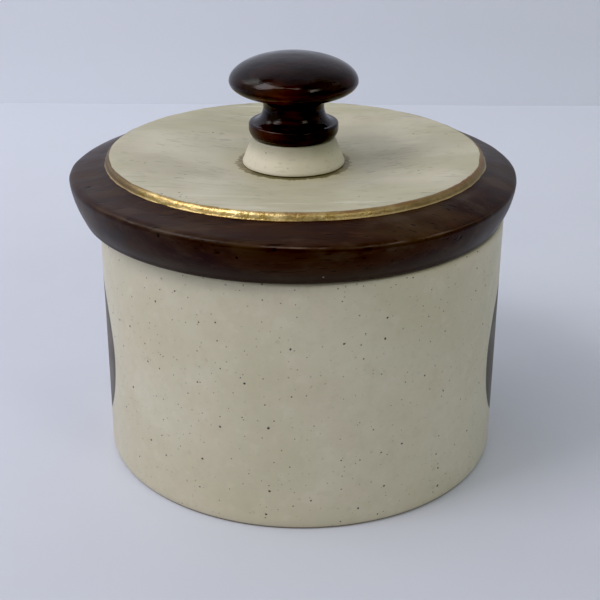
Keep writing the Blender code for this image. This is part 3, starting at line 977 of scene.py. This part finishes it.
def stage_look():
    """Plain pale paper with a barely visible tooth.

    Painted shade makes it darker near the camera, and painted light makes it lighter far back and
    low and left on the step.
    """
    look = Look("pale_paper")
    x, y, z = look.parts()
    tooth = look.band(look.noise(30, detail=4), 0.3, 0.7)
    tint = look.mix(tooth, shaded(PAPER, 0.985), PAPER)
    # Painted shade near the camera, and painted light far back
    tint = look.mix(look.band(y, -0.12, 0.0, 0.5, 0.0), tint, shaded(PAPER, 0.80))
    tint = look.mix(look.band(y, 0.12, 0.38), tint, shaded(PAPER, 1.08))
    wall = look.math("GREATER_THAN", z, 0.0002)
    # Painted light on the step's face, more to the left and low down
    left = look.band(x, -0.20, 0.22, 0.42, 0.0)
    low = look.band(z, 0.005, 0.055, 0.25, 0.0)
    tint = look.over(tint, wall, 0.45, PAPER)
    tint = look.mix(look.times(wall, look.plus(left, low)), tint, shaded(PAPER, 1.26))
    return look.finish(tint, 0.7, specular=0.2)


def add_stage_piece(name, outline, look):
    """A wide sheet that follows an outline of (y, z) points."""
    verts = [(x, y, z) for y, z in outline for x in (-STAGE_REACH, STAGE_REACH)]
    faces = [(2 * i, 2 * i + 1, 2 * i + 3, 2 * i + 2) for i in range(len(outline) - 1)]
    mesh = bpy.data.meshes.new(name)
    mesh.from_pydata(verts, [], faces)
    mesh.materials.append(look)
    sheet = bpy.data.objects.new(name, mesh)
    bpy.context.scene.collection.objects.link(sheet)
    return sheet


def make_stage():
    """A pale floor, with a low step behind the object and a far wall.

    The photo's view shows only the step's front. The wall above it lights the object but isn't
    seen itself, so it doesn't block the views from behind.
    """
    paper = stage_look()
    outline = [(-STAGE_REACH, 0.0), (WALL_Y, 0.0), (WALL_Y, STEP_HEIGHT)]
    outline += [(STAGE_REACH, STEP_HEIGHT), (STAGE_REACH, WALL_TOP)]
    add_stage_piece("studio_floor", outline, paper)
    bounce = add_stage_piece("bounce_wall", [(WALL_Y, STEP_HEIGHT), (WALL_Y, WALL_TOP)], paper)
    bounce.visible_camera = False


def add_light(name, place_at, size, power, colour):
    """A soft lamp that faces the object."""
    lamp = bpy.data.lights.new(name, "AREA")
    lamp.shape = "RECTANGLE"
    lamp.size, lamp.size_y = size
    lamp.energy = power
    lamp.color = colour
    holder = bpy.data.objects.new(name, lamp)
    holder.location = place_at
    towards = Vector(LIGHT_TARGET) - Vector(place_at)
    holder.rotation_euler = towards.to_track_quat("-Z", "Y").to_euler()
    bpy.context.scene.collection.objects.link(holder)


def around_middle(degrees, elevation, distance=1.4):
    """A place round the object: angle from the front towards +X, and height above the horizon."""
    angle, lift = math.radians(degrees), math.radians(elevation)
    flat = distance * math.cos(lift)
    z = LIGHT_TARGET[2] + distance * math.sin(lift)
    return (flat * math.sin(angle), -flat * math.cos(angle), z)


def make_world():
    """A dim room: lighter on the left and in front, darker overhead and on the right."""
    world = bpy.data.worlds.new("soft_light")
    world.use_nodes = True
    tree = world.node_tree
    direction = tree.nodes.new("ShaderNodeSeparateXYZ")
    tree.links.new(tree.nodes.new("ShaderNodeTexCoord").outputs["Generated"], direction.inputs[0])
    total = None
    for axis, side, strength in (("X", -1.0, 0.61), ("X", 1.0, 0.10), ("Y", -1.0, 0.30)):
        part = tree.nodes.new("ShaderNodeMath")
        part.operation, part.use_clamp = "MULTIPLY", True
        tree.links.new(direction.outputs[axis], part.inputs[0])
        part.inputs[1].default_value = side * strength
        if total is None:
            total = part.outputs[0]
            continue
        added = tree.nodes.new("ShaderNodeMath")
        added.operation = "ADD"
        tree.links.new(total, added.inputs[0])
        tree.links.new(part.outputs[0], added.inputs[1])
        total = added.outputs[0]
    background = tree.nodes["Background"]
    background.inputs["Color"].default_value = (1.0, 1.0, 1.0, 1.0)
    tree.links.new(total, background.inputs["Strength"])
    bpy.context.scene.world = world


def make_lights():
    """Soft windows on the left and smaller soft lights round the rest of the room."""
    make_world()
    lights = {  # place, size, power and colour
        "window_left": (around_middle(-67, 47), (0.60, 0.75), 8.1, (1.0, 0.965, 1.08)),
        "window_far_left": (around_middle(-110, 42), (0.60, 0.60), 3.35, (0.94, 1.0, 1.02)),
        "window_front": (around_middle(-22, 56), (1.10, 0.16), 2.1, (1.0, 0.98, 0.96)),
        "window_right": (around_middle(40, 35), (0.35, 0.25), 2.0, (0.95, 1.0, 0.95)),
        "room_right": (around_middle(100, 40), (2.00, 1.80), 4.0, (0.99, 1.02, 0.93)),
        "ceiling": ((0.0, 0.0, 1.5), (0.90, 0.90), 1.5, (0.99, 0.97, 1.12)),
    }
    for name, settings in lights.items():
        add_light(name, *settings)


def make_camera():
    """The camera, at the height and distance that the object's perspective gives."""
    data = bpy.data.cameras.new("camera")
    data.lens = CAMERA_LENS
    data.sensor_width = 36.0
    camera = bpy.data.objects.new("camera", data)
    camera.location = CAMERA_PLACE
    turn = Matrix.Rotation(-CAMERA_YAW, 3, "Z")
    tilt = turn @ Matrix.Rotation(math.pi / 2 - CAMERA_PITCH, 3, "X")
    camera.rotation_euler = (tilt @ Matrix.Rotation(CAMERA_ROLL, 3, "Z")).to_euler()
    bpy.context.scene.collection.objects.link(camera)
    bpy.context.scene.camera = camera


def build():
    """Camera, lights, stage and every piece."""
    make_camera()
    make_lights()
    make_stage()
    make_jar()
    make_ring()
    make_panel()
    make_gold_band()
    make_collar()
    make_knob()
    dress_inner_nodes()
    view = bpy.context.scene.view_settings
    view.view_transform = "Standard"
    view.use_curve_mapping = True
    view.curve_mapping.black_level = (BLACK_POINT, BLACK_POINT, BLACK_POINT)
    view.curve_mapping.update()


build()
